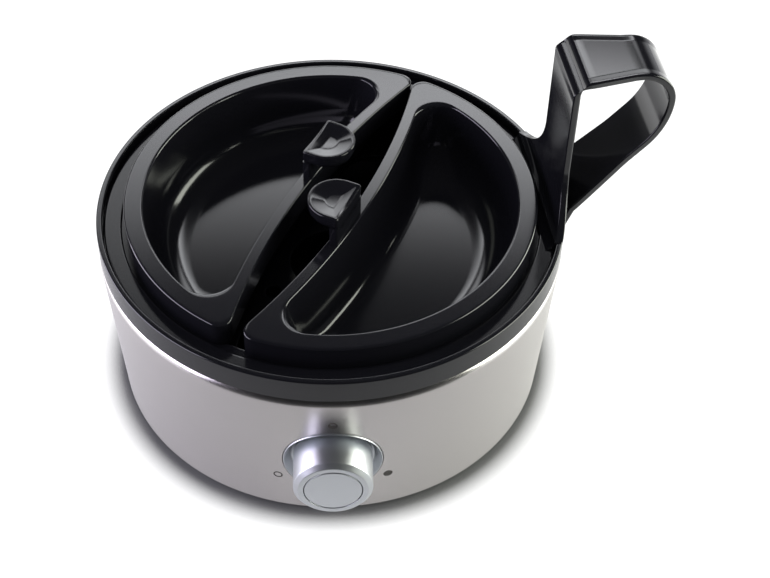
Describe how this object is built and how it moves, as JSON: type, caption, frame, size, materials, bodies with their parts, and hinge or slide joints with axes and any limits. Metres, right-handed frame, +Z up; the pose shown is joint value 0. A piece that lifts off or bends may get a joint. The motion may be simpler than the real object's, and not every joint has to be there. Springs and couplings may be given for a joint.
{
  "type": "egg boiler",
  "caption": "Round countertop egg boiler: brushed steel drum, black collar, lift-out carrier with a loop handle, kidney-shaped poaching pans, and a dial with a push button.",
  "frame": {"origin": "centre of the drum at the surface that the egg boiler stands on", "axes": "+Z up along the drum axis, -Y towards the knob, +X towards the loop handle"},
  "size_m": [0.2042, 0.1798, 0.1347],
  "materials": {
    "steel_shell": "circumferential brushed stainless steel",
    "black_gloss": "glossy black moulded plastic",
    "black_plain": "satin black moulded plastic",
    "silver_trim": "satin silver",
    "foot_rubber": "matte black rubber",
    "dish_coating": "dark non-stick coating",
    "cast_alloy": "plain cast aluminium",
    "plain_steel": "zinc-plated steel",
    "brass_pin": "plain brass",
    "seal_rubber": "red silicone rubber",
    "board_green": "glass-fibre circuit board",
    "component_black": "moulded component cases",
    "component_blue": "sleeved and cased components",
    "ceramic_white": "glazed ceramic and white nylon",
    "wire_sleeve": "glass-fibre wire sleeving"
  },
  "bodies": {
    "base": {"body_sleeve": "steel_shell", "collar": "black_gloss", "heating_dish": "dish_coating", "dish_seal": "seal_rubber", "heat_spreader": "cast_alloy", "heating_element": "plain_steel", "element_terminals": "brass_pin", "thermostat": "ceramic_white", "thermostat_strap": "plain_steel", "thermal_fuse": "wire_sleeve", "foot_ring": "foot_rubber", "base_plate": "black_plain", "heat_shield": "plain_steel", "shield_posts": "cast_alloy", "base_screws": "plain_steel", "tie_rods": "plain_steel", "cord_gland": "black_plain", "terminal_block": "ceramic_white", "lead_wires": "wire_sleeve", "knob_bezel": "silver_trim", "selector": "component_black", "control_board": "board_green", "board_feet": "black_plain", "board_screws": "plain_steel", "relay": "component_blue", "transformer": "component_black", "capacitor": "component_blue", "buzzer": "component_black", "button_switch": "component_black"},
    "carrier": {"carrier": "black_gloss", "handle": "black_gloss"},
    "pan_left": {"pan_left": "black_gloss"},
    "pan_right": {"pan_right": "black_gloss"},
    "knob": {"knob": "silver_trim", "button_spring": "plain_steel"},
    "start_button": {"start_button": "silver_trim"}
  },
  "joints": [
    {"name": "carrier_lift", "type": "slide", "parent": "base", "child": "carrier", "axis": [0, 0, 1], "range_m": [0, 0.12]},
    {"name": "pan_left_lift", "type": "slide", "parent": "carrier", "child": "pan_left", "axis": [0, 0, 1], "range_m": [0, 0.06]},
    {"name": "pan_right_lift", "type": "slide", "parent": "carrier", "child": "pan_right", "axis": [0, 0, 1], "range_m": [0, 0.06]},
    {"name": "knob_turn", "type": "hinge", "parent": "base", "child": "knob", "pos_m": [0, -0.08, 0.0316], "axis": [0, -1, 0], "range_deg": [-119, 119]},
    {"name": "button_press", "type": "slide", "parent": "knob", "child": "start_button", "axis": [0, 1, 0], "range_m": [0, 0.0015], "stiffness_N_per_m": 500}
  ]
}
